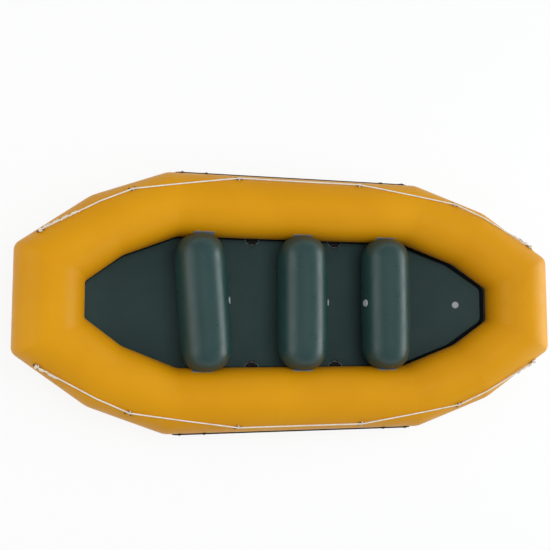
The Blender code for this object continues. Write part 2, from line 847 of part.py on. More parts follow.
def build_handles(material):
    """Moulded handles: two pads above the strake, straps over it, and a grip that stands off below."""
    grip = handle_grip_mesh()
    bm = bmesh.new()
    bmesh.ops.create_cube(bm, size=1)
    bmesh.ops.scale(bm, vec=(handle_pad_length, handle_pad_width, handle_pad_thickness), verts=bm.verts)
    pad = mesh_from(bm, "handle pad")
    rise = lifted(fit_gap + handle_pad_thickness / 2)
    for side, y_sign in (("port", 1), ("starboard", -1)):
        strap = handle_strap_mesh(y_sign)
        y, z = beside_tube(handle_grip_turn, handle_grip_stand_off(), y_sign)
        for end, x_sign in (("bow", 1), ("stern", -1)):
            place = Matrix.Translation((x_sign * handle_x, y, z))
            handle = link_part(f"handle_{end}_{side}", grip.copy(), material, place)
            for half in (-1, 1):
                x = x_sign * handle_x + half * handle_span / 2
                label = f"{end} {side} {half}"
                seat = tube_seat(0, x_sign * x / first_bend_x, handle_pad_turn, x_sign, y_sign)
                combine(handle, link_cutter(f"handle pad {label}", pad, seat @ rise), "UNION")
                strap_place = Matrix.Translation((x, 0, 0))
                combine(handle, link_cutter(f"handle strap {label}", strap, strap_place), "UNION")


def build():
    clear_scene()
    materials = {
        "tube": make_material("tube", (0.78, 0.42, 0.02), 0.45),
        "patch": make_material("patch", (0.20, 0.26, 0.33), 0.6),
        "floor": make_material("floor", (0.022, 0.045, 0.048), 0.55),
        "thwart": make_material("thwart", (0.03, 0.075, 0.062), 0.4),
        "baffle": make_material("baffle", (0.55, 0.32, 0.05), 0.7),
        "line": make_material("line", (0.85, 0.82, 0.76), 0.8),
        "ring": make_material("ring", (0.10, 0.09, 0.085), 0.4, 0.9),
        "rubber": make_material("rubber", (0.012, 0.012, 0.013), 0.6),
        "body": make_material("valve body", (0.42, 0.44, 0.45), 0.45),
        "cap": make_material("valve cap", (0.55, 0.57, 0.57), 0.4),
        "plunger": make_material("valve plunger", (0.05, 0.05, 0.055), 0.4),
    }
    pocket = pocket_mesh()
    valve_meshes = {"body": valve_body_mesh(), "plunger": valve_plunger_mesh(), "cap": valve_cap_mesh()}
    floor_tubes = grown_tube_cutters("floor", fit_gap)
    patch_height = tube_radius * (1 / math.cos(math.pi / tube_sides) - 1) + thwart_patch_thickness
    thwart_tubes = grown_tube_cutters("thwart", patch_height + fit_gap)
    build_tubes(materials, pocket)
    build_baffles(materials["baffle"])
    build_floor(materials["floor"], pocket, floor_tubes)
    thwart_seats = build_thwarts(materials["thwart"], pocket, thwart_tubes)
    build_rings(materials["ring"])
    build_grab_lines(materials["line"])
    build_strakes(materials["rubber"])
    build_handles(materials["rubber"])
    add_valve("floor", floor_valve_seat(), valve_meshes, materials)
    for label, seat in thwart_seats.items():
        add_valve(f"thwart_{label}", seat, valve_meshes, materials)
    for end, x_sign in (("bow", 1), ("stern", -1)):
        for side, y_sign in (("port", 1), ("starboard", -1)):
            seat = tube_seat(1, chamber_valve_run_share, chamber_valve_elevation, x_sign, y_sign)
            add_valve(f"{end}_{side}", seat, valve_meshes, materials)


build()
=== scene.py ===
"""The whitewater raft's looks: skins, ropes, rings, handles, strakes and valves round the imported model.

Metres, in the frame of the model: +X to the bow, +Y to port, +Z up.
"""

import json
import math
from math import cos, pi, radians, sin, tau

import bmesh
import bpy
from mathutils import Matrix, Vector, noise


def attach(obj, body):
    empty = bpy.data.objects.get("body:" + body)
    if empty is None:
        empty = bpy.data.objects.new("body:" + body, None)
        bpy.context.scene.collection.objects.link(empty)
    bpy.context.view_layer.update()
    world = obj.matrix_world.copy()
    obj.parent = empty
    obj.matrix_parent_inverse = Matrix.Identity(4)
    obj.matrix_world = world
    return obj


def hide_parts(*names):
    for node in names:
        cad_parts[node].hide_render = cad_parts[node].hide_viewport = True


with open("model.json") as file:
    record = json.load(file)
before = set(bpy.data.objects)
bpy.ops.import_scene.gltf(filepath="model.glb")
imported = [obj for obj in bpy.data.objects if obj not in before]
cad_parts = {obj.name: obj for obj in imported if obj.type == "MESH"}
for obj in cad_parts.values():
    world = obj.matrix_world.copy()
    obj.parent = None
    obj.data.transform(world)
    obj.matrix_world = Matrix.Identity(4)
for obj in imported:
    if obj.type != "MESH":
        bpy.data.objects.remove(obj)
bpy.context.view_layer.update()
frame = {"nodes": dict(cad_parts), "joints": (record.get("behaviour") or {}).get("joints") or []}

# Main tubes, as the solids have them
tube_radius = 0.25
side_centre_y = 0.765
end_centre_x = 1.90
first_bend_x = 1.00
second_bend_x = 1.505
second_bend_y = 0.56
second_bend_rise = 0.10
end_corner_y = 0.259
end_rise = 0.19
chamber_split_x = -0.200
fit_gap = 0.0003

# Fabric skin of the tubes
skin_sides = 96
skin_step = 0.026
bend_softness = (0.034, 0.036, 0.030)
softness_samples = 9
seam_half_width = 0.014
seam_height = 0.00025
seam_ramp = 0.003
pucker_height = 0.0007
pucker_reach = 0.060
pucker_pitch = 0.034
pucker_side_step = 0.9
pucker_seed = 3.1
pucker_inboard_lean = 0.4

# Air floor
floor_underside = 0.022
floor_thickness = 0.10
floor_edge_inset = 0.165
rocker_start_x = 0.95
rocker_power = 1.6
floor_corner_radius = 0.035
floor_rim_steps = 10
floor_outline_step = 0.03
floor_station_step = 0.05
floor_skin_gap = 2 * fit_gap
floor_band_inset = 0.249
floor_band_width = 0.029
floor_band_thickness = 0.0016
floor_band_edge = 0.0006
floor_band_root = 0.0005

# Thwarts
thwart_radius = 0.203
thwart_floor_gap = 0.008
thwart_skin_squash = 0.006
thwart_end_depth = 0.215
thwart_end_fullness = 0.76
thwart_barrel = 0.05
thwart_sides = 96
thwart_dome_steps = 26
thwart_body_steps = 12
thwart_places = {"bow": (0.757, 0.0), "middle": (0.040, 0.0), "stern": (-0.762, radians(2.4))}
thwart_lean = {"bow": 0.0, "middle": 0.0, "stern": radians(2.0)}
thwart_patch_length = 0.165
thwart_patch_thickness = 0.002
thwart_patch_low = radians(-30)
thwart_patch_high = radians(28)

# Rings and what holds them
ring_wire_radius = 0.003
ring_half_width = 0.028
ring_leg = 0.012
ring_corner = 0.006
loop_length = 0.030
loop_wall = 0.0022
loop_clearance = 0.0006
ring_stand_off = ring_wire_radius + loop_clearance + fit_gap
loop_tail = 0.024
loop_flat = 0.012
loop_foot = 0.003
line_patch_length = 0.095
line_patch_width = 0.070
line_patch_thickness = 0.0025
line_ring_run_shares = ((0, 0.50), (1, 0.57), (2, 0.88))
line_ring_elevations = (radians(36), radians(42), radians(30))
patch_corner = 0.014
floor_patch_radius = 0.064
floor_patch_offset = 0.036
floor_patch_cut = 0.042
floor_patch_thickness = 0.002
floor_patch_bead_radius = 0.0012
floor_ring_inset = 0.010
floor_ring_places = {"bow": 0.385, "stern": -0.330}

# Grab line: its route over the bow port quarter, from amidships to the last ring
line_radius = 0.0055
line_stand_off = 0.0088
line_stations_at_rings = (3, 10, 15)
line_step = 0.004
taut_step = 0.03
taut_rounds = 160
tail_radius = 0.0042
tail_start = 4
long_tail = (72, 17)
short_tail = (38, 26)
knot_steps = 72
hitch_radius = 0.0017
hitch_turns = 3
hitch_steps = 24
grab_line_half_route = [
    (0.000, 0.963, 0.416), (0.250, 0.960, 0.420), (0.440, 0.955, 0.431), (0.500, 0.9615, 0.4375),
    (0.570, 0.949, 0.437), (0.750, 0.926, 0.453), (0.900, 0.903, 0.469), (1.004, 0.891, 0.476),
    (1.112, 0.859, 0.490), (1.212, 0.840, 0.498), (1.319, 0.8235, 0.509), (1.408, 0.769, 0.531),
    (1.552, 0.716, 0.552), (1.679, 0.641, 0.565), (1.827, 0.558, 0.574), (1.959, 0.4828, 0.5917),
]

# Rub strakes and handles
strake_length = 1.97
strake_thickness = 0.0105
strake_low = radians(-16.4)
strake_high = radians(5.2)
strake_ribs = 5
strake_steps = 60
strake_end_taper = 0.03
handle_x = 0.835
handle_span = 0.190
handle_pad_turn = tau / 32
handle_pad_length = 0.024
handle_pad_width = 0.030
handle_pad_thickness = 0.010
handle_pad_corner = 0.006
handle_strap_width = 0.020
handle_strap_thickness = 0.003
handle_strap_wrap = radians(290)
handle_strap_wrap_start = radians(62)
handle_grip_radius = 0.013
handle_grip_overhang = 0.014
handle_grip_turn = radians(-34)
handle_grip_ribs = 16
handle_finger_gap = 0.034

# Valves
flange_radius = 0.029
flange_proud = 0.0015
flange_seat_depth = 0.0025
barrel_radius = 0.0205
barrel_depth = 0.027
valve_bore_radius = 0.0165
seat_bore_radius = 0.011
seat_depth = 0.0175
seat_thickness = 0.003
cap_radius = 0.027
cap_height = 0.0047
cap_chamfer = 0.0015
cap_ribs = 36
cap_rib_depth = 0.0006
cap_skirt_radius = 0.0156
cap_skirt_depth = 0.006
cap_skirt_wall = 0.0027
cap_roof = 0.0035
grip_recess_radius = 0.0185
grip_recess_depth = 0.0022
grip_bar_width = 0.007
poppet_radius = 0.0150
poppet_thickness = 0.003
stem_radius = 0.004
button_radius = 0.008
button_edge = 0.0008
button_top_depth = 0.0085
button_thickness = 0.004
plunger_travel = 0.004
pocket_overrun = 0.02
valve_sides = 64
valve_labels = ("floor", "thwart_bow", "thwart_middle", "thwart_stern",
                "bow_port", "bow_starboard", "stern_port", "stern_starboard")

up = Vector((0, 0, 1))
flanks = (("port", 1), ("starboard", -1))
ends = (("bow", 1), ("stern", -1))
quarters = [(f"{end}_{side}", x_sign, y_sign) for end, x_sign in ends for side, y_sign in flanks]


class Finish:
    """A material whose nodes feed colour, roughness and bump from object coordinates."""

    def __init__(self, name, color, roughness, metallic=0.0, specular=0.5):
        self.material = bpy.data.materials.new(name)
        self.material.use_nodes = True
        self.tree = self.material.node_tree
        self.shader = self.tree.nodes["Principled BSDF"]
        self.feed(self.shader, {"Base Color": (*color, 1), "Roughness": roughness, "Metallic": metallic,
                                "Specular IOR Level": specular})
        self.place = self.tree.nodes.new("ShaderNodeTexCoord").outputs["Object"]
        self.bumps = None

    def feed(self, node, values):
        """Sets the node's inputs, with a link where the value is another node's output."""
        for word, value in values.items():
            if isinstance(value, bpy.types.NodeSocket):
                self.tree.links.new(value, node.inputs[word])
            else:
                node.inputs[word].default_value = value
        return node

    def node(self, kind, values):
        return self.feed(self.tree.nodes.new(kind), values)

    def noise(self, scale, detail=3.0, roughness=0.5):
        values = {"Vector": self.place, "Scale": scale, "Detail": detail, "Roughness": roughness}
        return self.node("ShaderNodeTexNoise", values).outputs["Fac"]

    def bands(self, axis, spacing):
        made = self.node("ShaderNodeTexWave", {"Vector": self.place, "Scale": pi / 10 / spacing})
        made.wave_type = "BANDS"
        made.bands_direction = axis
        return made.outputs["Fac"]

    def remap(self, source, low, high, low_value, high_value):
        values = {"Value": source, "From Min": low, "From Max": high,
                  "To Min": low_value, "To Max": high_value}
        return self.node("ShaderNodeMapRange", values).outputs["Result"]

    def blend(self, share, first, second):
        made = self.tree.nodes.new("ShaderNodeMix")
        made.data_type = "RGBA"
        sockets = {socket.identifier: socket for socket in made.inputs}
        self.tree.links.new(share, sockets["Factor_Float"])
        for value, socket in ((first, sockets["A_Color"]), (second, sockets["B_Color"])):
            if isinstance(value, tuple):
                socket.default_value = (*value, 1)
            else:
                self.tree.links.new(value, socket)
        return next(socket for socket in made.outputs if socket.identifier == "Result_Color")

    def spotted(self, color, other, spots, low, high, share):
        """The colour with spots of another where the noise is high."""
        return self.blend(self.remap(self.noise(*spots), low, high, 0.0, share), color, other)

    def color(self, source):
        self.feed(self.shader, {"Base Color": source})

    def uneven(self, scale, detail, low, high):
        """A roughness that varies between two values."""
        self.feed(self.shader, {"Roughness": self.remap(self.noise(scale, detail), 0.3, 0.7, low, high)})

    def bump(self, source, distance, strength):
        values = {"Strength": strength, "Distance": distance, "Height": source}
        if self.bumps is not None:
            values["Normal"] = self.bumps
        self.bumps = self.node("ShaderNodeBump", values).outputs["Normal"]
        self.feed(self.shader, {"Normal": self.bumps})


def paler(color, lift):
    return tuple(0.85 * value + lift for value in color)


def coated_fabric(name, color, shade, roughness, thread=0.0016, scuffs=0.14, specular=0.3):
    """Coated cloth: the weave prints through, the colour drifts slowly, and scuffs are paler."""
    finish = Finish(name, color, roughness, specular=specular)
    drifted = finish.spotted(color, shade, (1.7, 2.0), 0.35, 0.65, 0.7)
    finish.color(finish.spotted(drifted, paler(color, 0.04), (38.0, 6.0, 0.7), 0.60, 0.78, scuffs))
    finish.uneven(9.0, 4.0, roughness - 0.06, roughness + 0.08)
    for axis in "XYZ":
        finish.bump(finish.bands(axis, thread), 0.0001, 0.3)
    finish.bump(finish.noise(6.0, 2.0), 0.003, 0.2)
    return finish.material


def moulded(name, color, roughness, grain=0.0006, wear=0.3, specular=0.5):
    """Moulded rubber or plastic: a fine grain, and worn spots that are paler."""
    finish = Finish(name, color, roughness, specular=specular)
    finish.color(finish.spotted(color, paler(color, 0.03), (60.0, 5.0, 0.65), 0.55, 0.75, wear))
    finish.uneven(25.0, 4.0, roughness - 0.08, roughness + 0.10)
    finish.bump(finish.noise(1 / grain, 2.0), grain / 5, 0.5)
    return finish.material


def wire_metal(name, color, roughness):
    finish = Finish(name, color, roughness, metallic=1.0)
    dull = tuple(0.45 * value for value in color)
    finish.color(finish.spotted(color, dull, (90.0, 5.0, 0.6), 0.45, 0.7, 0.7))
    finish.uneven(140.0, 3.0, roughness - 0.1, roughness + 0.15)
    return finish.material


def rope_fibre(name, color):
    finish = Finish(name, color, 0.85)
    finish.feed(finish.shader, {"Sheen Weight": 0.25})
    finish.color(finish.spotted(color, (0.50, 0.43, 0.33), (22.0, 4.0), 0.4, 0.7, 0.45))
    finish.bump(finish.noise(900.0, 3.0), 0.0004, 0.6)
    return finish.material


tube_fabric = coated_fabric(
    "tube fabric", (0.680, 0.305, 0.003), (0.630, 0.270, 0.002), 0.42, scuffs=0.03, specular=0.18)
floor_fabric = coated_fabric(
    "floor fabric", (0.032, 0.060, 0.058), (0.027, 0.051, 0.050), 0.60, specular=0.2)
thwart_fabric = coated_fabric(
    "thwart fabric", (0.016, 0.049, 0.047), (0.013, 0.042, 0.040), 0.32, specular=0.5)
patch_fabric = coated_fabric("patch fabric", (0.250, 0.280, 0.310), (0.205, 0.235, 0.265), 0.5)
# Near-black painted shade for the band round the deck's edge, where the tubes cast their contact shadow on
# the floor
shadow_band_fabric = coated_fabric(
    "shadow band fabric", (0.004, 0.005, 0.006), (0.003, 0.004, 0.005), 0.7, scuffs=0.03, specular=0.1)
baffle_fabric = coated_fabric("baffle fabric", (0.55, 0.32, 0.05), (0.48, 0.27, 0.04), 0.7)
floor_patch_fabric = coated_fabric(
    "floor patch fabric", (0.006, 0.007, 0.008), (0.004, 0.005, 0.006), 0.6, scuffs=0.05)
webbing = coated_fabric("webbing", (0.016, 0.016, 0.018), (0.012, 0.012, 0.013), 0.8, thread=0.0022)
rope = rope_fibre("rope", (0.80, 0.76, 0.68))
rubber = moulded("rubber", (0.005, 0.005, 0.006), 0.62, wear=0.15, specular=0.15)
steel = wire_metal("ring steel", (0.16, 0.14, 0.12), 0.35)
valve_grey = moulded("valve grey", (0.36, 0.38, 0.38), 0.42)
cap_grey = moulded("cap grey", (0.36, 0.39, 0.38), 0.40)
plunger_black = moulded("plunger black", (0.04, 0.04, 0.045), 0.4)


def linked_object(name, data):
    made = bpy.data.objects.new(name, data)
    bpy.context.scene.collection.objects.link(made)
    return made


def add_piece(name, mesh, material, place=Matrix.Identity(4), replaces=(), body="hull"):
    piece = linked_object(name, mesh)
    piece.matrix_world = place
    if not mesh.materials:
        mesh.materials.append(material)
    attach(piece, body)
    if replaces:
        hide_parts(*replaces)


def spread(start, stop, steps):
    """Even values from start to stop."""
    return [start + (stop - start) * n / steps for n in range(steps + 1)]


def full_turn(count):
    """Even turns all the way round."""
    return [tau * n / count for n in range(count)]


def around(radius, turn, height=0.0):
    return Vector((radius * cos(turn), radius * sin(turn), height))


def smoothed(mesh, sharp):
    mesh.shade_smooth()
    mesh.set_sharp_from_angle(angle=radians(sharp))
    return mesh


def finished_mesh(bm, name, sharp):
    bmesh.ops.recalc_face_normals(bm, faces=bm.faces)
    mesh = bpy.data.meshes.new(name)
    bm.to_mesh(mesh)
    bm.free()
    return smoothed(mesh, sharp)


def bridge(bm, loops):
    """Faces between each closed loop and the next."""
    for lower, upper in zip(loops, loops[1:]):
        for j in range(len(lower)):
            k = (j + 1) % len(lower)
            bm.faces.new((lower[j], lower[k], upper[k], upper[j]))


def lofted(name, rings, capped=True, cyclic=False, sharp=45):
    """A skin through rings of equal count: capped at both ends, or with the last ring joined to the first."""
    bm = bmesh.new()
    loops = [[bm.verts.new(point) for point in ring] for ring in rings]
    bridge(bm, loops + loops[:1] if cyclic else loops)
    if capped and not cyclic:
        bm.faces.new(loops[0][::-1])
        bm.faces.new(loops[-1])
    return finished_mesh(bm, name, sharp)


def revolved(name, profile, sides, closed=False, ribs=0, rib_depth=0.0, ribbed_from=math.inf, sharp=35):
    """A (radius, height) profile turned about Z; its widest parts may carry ribs."""
    rings = []
    for radius, height in profile:
        depth = rib_depth if radius >= ribbed_from else 0.0
        rings.append([around(radius - depth * (0.5 - 0.5 * cos(ribs * turn)), turn, height)
                      for turn in full_turn(sides)])
    return lofted(name, rings, cyclic=closed, sharp=sharp)


def cut_with(mesh, cutters, sharp=45):
    """The mesh with each (mesh, place) cut away."""
    target = linked_object(mesh.name, mesh)
    others = []
    for cutter, place in cutters:
        other = linked_object("cutter", cutter)
        other.matrix_world = place
        step = target.modifiers.new("cut", "BOOLEAN")
        step.operation = "DIFFERENCE"
        step.solver = "EXACT"
        step.object = other
        others.append(other)
    bpy.context.view_layer.update()
    made = bpy.data.meshes.new_from_object(target.evaluated_get(bpy.context.evaluated_depsgraph_get()))
    for thing in (target, *others):
        bpy.data.objects.remove(thing, do_unlink=True)
    made.materials.clear()
    return smoothed(made, sharp)


def quarter_path(start_x=0.0, end_y=0.0):
    """Centreline corners of the bow port quarter, from the side to the middle of the bow."""
    return [
        Vector((start_x, side_centre_y, tube_radius)),
        Vector((first_bend_x, side_centre_y, tube_radius)),
        Vector((second_bend_x, second_bend_y, tube_radius + second_bend_rise)),
        Vector((end_centre_x, end_corner_y, tube_radius + end_rise)),
        Vector((end_centre_x, end_y, tube_radius + end_rise)),
    ]


def reflected(point, x_sign, y_sign):
    return Vector((point.x * x_sign, point.y * y_sign, point.z))


def seat_matrix(origin, normal, crownward):
    z = normal.normalized()
    x = crownward.cross(z).normalized()
    y = z.cross(x)
    return Matrix.Translation(origin) @ Matrix((x, y, z)).transposed().to_4x4()


def tube_seat(run, share, elevation, x_sign, y_sign):
    """A place on the tube's skin: Z along the normal and Y towards the crown of the tube."""
    path = quarter_path()
    start, end = path[run], path[run + 1]
    along = (end - start).normalized()
    outward = up.cross(along).normalized()
    upright = along.cross(outward)
    normal = outward * cos(elevation) + upright * sin(elevation)
    crownward = upright * cos(elevation) - outward * sin(elevation)
    if cos(elevation) < 0:
        crownward = -crownward
    origin = start.lerp(end, share) + normal * tube_radius
    return seat_matrix(*(reflected(vector, x_sign, y_sign) for vector in (origin, normal, crownward)))


def lifted(height):
    return Matrix.Translation((0, 0, height))


def valve_seats():
    """Each valve's place, from the joint that its cap turns on."""
    joints = {joint["name"]: joint for joint in frame["joints"]}
    seats = {}
    for label in valve_labels:
        joint = joints[f"cap_{label}_turn"]
        normal = Vector(joint["axis"])
        crownward = Vector((0, 1, 0)) if label == "floor" else up - normal * up.dot(normal)
        seats[label] = seat_matrix(Vector(joint["pos_m"]), normal, crownward)
    return seats


def pocket_mesh():
    seat_radius = flange_radius + fit_gap
    barrel = barrel_radius + fit_gap
    depth = barrel_depth + plunger_travel + poppet_thickness
    return revolved("valve pocket", [
        (fit_gap, pocket_overrun), (seat_radius, pocket_overrun), (seat_radius, -flange_seat_depth),
        (barrel, -flange_seat_depth), (barrel, -depth), (fit_gap, -depth),
    ], valve_sides)


def mitre_rings(path):
    """For each corner of the path, the ring of skin points on its mitre plane."""
    runs = [(b - a).normalized() for a, b in zip(path, path[1:])]
    rings = []
    for k, centre in enumerate(path):
        run = runs[max(0, k - 1)]
        plane = run + runs[min(k, len(runs) - 1)]
        across = up.cross(run).normalized()
        upright = run.cross(across)
        ring = []
        for turn in full_turn(skin_sides):
            offset = (across * cos(turn) + upright * sin(turn)) * tube_radius
            ring.append(centre + offset - run * (offset.dot(plane) / run.dot(plane)))
        rings.append(ring)
    return rings


def skin_stations(total, seams):
    """Even stations along a tube, with extra ones at the edges of each seam."""
    outer = seam_half_width + seam_ramp
    offsets = (-outer, -seam_half_width, seam_half_width, outer)
    edges = [seam + offset for seam in seams for offset in offsets if 0 < seam + offset < total]
    evens = spread(0, total, round(total / skin_step))
    clear = [s for s in evens if all(abs(s - edge) > 2 * seam_ramp for edge in edges) or s in (0, total)]
    return sorted(clear + edges)


def seam_rise(distance):
    past = max(0.0, distance - seam_half_width)
    return seam_height * max(0.0, 1 - past / seam_ramp)


def tube_skin(name, path):
    """An inflated tube of welded panels: softened mitres, raised seams and puckers inside the bends."""
    rings = mitre_rings(path)
    reached = [0.0]
    for a, b in zip(path, path[1:]):
        reached.append(reached[-1] + (b - a).length)
    total = reached[-1]
    bends = reached[1:-1]
    samples = [(2 * n + 1) / softness_samples - 1 for n in range(softness_samples)]

    def at(points, s):
        s = min(max(s, 0.0), total)
        k = max(k for k in range(len(reached) - 1) if reached[k] <= s)
        return points[k].lerp(points[k + 1], (s - reached[k]) / (reached[k + 1] - reached[k]))

    skin = []
    columns = list(zip(*rings))
    for s in skin_stations(total, reached):
        near, softness = min((abs(s - bend), soft) for bend, soft in zip(bends, bend_softness))
        room = min(s, total - s, softness)
        rise = max(seam_rise(abs(s - seam)) for seam in reached)
        middle = at(path, s)
        inboard = Vector((-math.copysign(pucker_inboard_lean, middle.x), -math.copysign(1, middle.y), 0))
        ring = []
        for j, column in enumerate(columns):
            point = at(column, s)
            if near < softness and room > 0:
                point = sum((at(column, s + room * share) for share in samples), Vector()) / softness_samples
            spoke = (point - middle).normalized()
            wave = noise.noise(Vector((j * pucker_side_step, s / pucker_pitch, pucker_seed)))
            wave *= max(0.0, spoke.dot(inboard))
            pucker = pucker_height * wave * math.exp(-((near / pucker_reach) ** 2))
            ring.append(point + spoke * (rise + pucker))
        skin.append(ring)
    return lofted(name, skin, sharp=50)


def add_tubes(seats):
    pocket = pocket_mesh()
    for label, x_sign, y_sign in quarters:
        start_x = x_sign * chamber_split_x + fit_gap / 2
        path = [reflected(point, x_sign, y_sign) for point in quarter_path(start_x, fit_gap / 2)]
        mesh = cut_with(tube_skin(label, path), [(pocket, seats[label])])
        add_piece(f"tube_skin_{label}", mesh, tube_fabric, replaces=[f"tube_{label}"])


def rocker(x):
    """Rise of the air floor at x, which follows the kick of the tubes."""
    end = end_centre_x - floor_edge_inset
    past = max(0.0, abs(x) - rocker_start_x)
    return end_rise * (past / (end - rocker_start_x)) ** rocker_power


def deck_height(x):
    return floor_underside + floor_thickness + rocker(x)


def rounded_corners(corners, radius, steps=6):
    """A closed outline with each corner replaced by a short curve."""
    outline = []
    for a, b, c in zip([corners[-1], *corners], corners, [*corners[1:], corners[0]]):
        back = min(radius, (b - a).length * 0.45, (c - b).length * 0.45)
        start = b + (a - b).normalized() * back
        stop = b + (c - b).normalized() * back
        outline += [start * (1 - t) ** 2 + b * 2 * t * (1 - t) + stop * t**2 for t in spread(0, 1, steps)]
    return outline


def densified(outline, step):
    dense = []
    for a, b in zip(outline, [*outline[1:], outline[0]]):
        count = max(1, math.ceil((b - a).length / step))
        dense += [a.lerp(b, n / count) for n in range(count)]
    return dense


def drawn_in(inset):
    """Corners in plan of the tubes' centreline drawn in by the inset, all the way round."""
    path = [Vector((point.x, point.y)) for point in quarter_path()]
    bow = []
    for a, b, c in zip(path, path[1:], path[2:]):
        first, second = (b - a).normalized(), (c - b).normalized()
        inward = Vector((first.y, -first.x)) + Vector((second.y, -second.x))
        inward.normalize()
        bow.append(b + inward * inset / inward.dot(Vector((first.y, -first.x))))
    outline = bow + [Vector((p.x, -p.y)) for p in reversed(bow)]
    return outline + [Vector((-p.x, -p.y)) for p in bow] + [Vector((-p.x, p.y)) for p in reversed(bow)]


def outward_normals(outline):
    normals = []
    for a, b, c in zip([outline[-1], *outline], outline, [*outline[1:], outline[0]]):
        side = (b - a).normalized() + (c - b).normalized()
        normals.append(Vector((side.y, -side.x)).normalized())
    if normals[0].dot(outline[0]) < 0:
        normals = [-normal for normal in normals]
    return normals


quarter_corners = quarter_path()
quarter_runs = [(b - a).normalized() for a, b in zip(quarter_corners, quarter_corners[1:])]


def tube_clear(point, clearance):
    """The point, moved straight away from its tube's axis where it comes within the clearance of the skin."""
    x_sign, y_sign = math.copysign(1, point.x), math.copysign(1, point.y)
    folded = reflected(point, x_sign, y_sign)
    k = 0
    while k < len(quarter_runs) - 1:
        plane = quarter_runs[k] + quarter_runs[k + 1]
        if (folded - quarter_corners[k + 1]).dot(plane) < 0:
            break
        k += 1
    foot = quarter_corners[k] + quarter_runs[k] * (folded - quarter_corners[k]).dot(quarter_runs[k])
    if (folded - foot).length < tube_radius + clearance:
        folded = foot + (folded - foot).normalized() * (tube_radius + clearance)
    return reflected(folded, x_sign, y_sign)


def floor_outline(inset):
    """Points round the floor at the inset from the tubes' centreline, and their outward normals."""
    outline = densified(rounded_corners(drawn_in(inset), floor_corner_radius), floor_outline_step)
    return list(zip(outline, outward_normals(outline)))


def add_floor(seats):
    """An air mattress with round rims that press on the tubes."""
    half = floor_thickness / 2
    outline = floor_outline(floor_edge_inset + half)
    bm = bmesh.new()
    loops = []
    for turn in spread(-pi / 2, pi / 2, floor_rim_steps):
        loop = []
        for p, outward in outline:
            q = p + outward * half * cos(turn)
            height = floor_underside + half * (1 + sin(turn)) + rocker(q.x)
            loop.append(bm.verts.new(tube_clear(Vector((q.x, q.y, height)), floor_skin_gap)))
        loops.append(loop)
    bridge(bm, loops)
    sheets = [bm.faces.new(loops[0][::-1]), bm.faces.new(loops[-1])]
    bmesh.ops.triangulate(bm, faces=sheets)
    rim = {vertex for loop in loops for vertex in loop}
    for direction, reach in ((Vector((1, 0, 0)), end_centre_x), (Vector((0, 1, 0)), side_centre_y)):
        stations = round(reach / floor_station_step)
        for n in range(-stations, stations + 1):
            bmesh.ops.bisect_plane(bm, geom=bm.verts[:] + bm.edges[:] + bm.faces[:],
                                   plane_co=direction * n * floor_station_step, plane_no=direction)
    for vertex in bm.verts:
        flat = all(abs(face.normal.z) > 0.8 for face in vertex.link_faces)
        if vertex not in rim and flat:
            upper = vertex.co.z > floor_underside + half + rocker(vertex.co.x) * 0.9
            vertex.co.z = deck_height(vertex.co.x) - (0 if upper else floor_thickness)
    mesh = cut_with(finished_mesh(bm, "floor skin", 50), [(pocket_mesh(), seats["floor"])])
    add_piece("floor_skin", mesh, floor_fabric, replaces=["floor"])


def add_floor_shadow_band():
    """A near-black band round the deck's edge, where the floor meets the tubes: painted shade for the tubes'
    contact shadow on the floor.
    """
    outline = floor_outline(floor_band_inset)
    width, top = floor_band_width, floor_band_thickness
    shoulder = top - 0.0002
    section = [(0, -floor_band_root), (0, top / 2), (floor_band_edge, shoulder), (width / 2, top),
               (width, shoulder), (width, -floor_band_root)]
    rings = []
    for offset, rise in section:
        ring = []
        for p, outward in outline:
            q = p + outward * offset
            ring.append(tube_clear(Vector((q.x, q.y, deck_height(q.x) + rise)), floor_skin_gap))
        rings.append(ring)
    # The band's near-black colour is painted shade under the tubes' overhang
    add_piece("floor_edge_shadow_band", lofted("floor shadow band", rings, cyclic=True), shadow_band_fabric)


def add_thwarts(seats):
    """Glossy cross tubes, fullest in the middle, with round ends that press on the side tubes."""
    height = floor_underside + floor_thickness + thwart_floor_gap + thwart_radius
    reach = side_centre_y - math.sqrt(tube_radius**2 - (height - tube_radius) ** 2) + thwart_skin_squash
    shoulder = reach - thwart_end_depth
    profile = []
    for turn in spread(0, pi / 2, thwart_dome_steps):
        radius = max(fit_gap, thwart_radius * sin(turn) ** thwart_end_fullness)
        share = max(0.0, cos(turn)) ** thwart_end_fullness
        profile.append((radius, shoulder + thwart_end_depth * share))
    profile += [(thwart_radius, along) for along in spread(shoulder, 0, thwart_body_steps)[1:]]
    profile = [(radius * (1 - thwart_barrel * (along / reach) ** 2), along) for radius, along in profile]
    profile += [(radius, -along) for radius, along in reversed(profile[:-1])]
    pocket = pocket_mesh()
    for label, (x, skew) in thwart_places.items():
        seat = seats[f"thwart_{label}"]
        valve = seat.translation
        lean = Matrix.Rotation(thwart_lean[label], 4, "Z")
        place = Matrix.Translation(valve) @ lean @ Matrix.Translation(-valve)
        place = place @ Matrix.Translation((x, 0, height)) @ Matrix.Rotation(skew, 4, "Z")
        rings = []
        for radius, along in profile:
            ring = []
            for turn in full_turn(thwart_sides):
                point = place @ Vector((radius * cos(turn), along, radius * sin(turn)))
                ring.append(tube_clear(point, thwart_patch_thickness + 4 * fit_gap))
            rings.append(ring)
        mesh = cut_with(lofted(f"thwart {label}", rings, sharp=60), [(pocket, seat)])
        add_piece(f"thwart_skin_{label}", mesh, thwart_fabric, replaces=[f"thwart_{label}"])


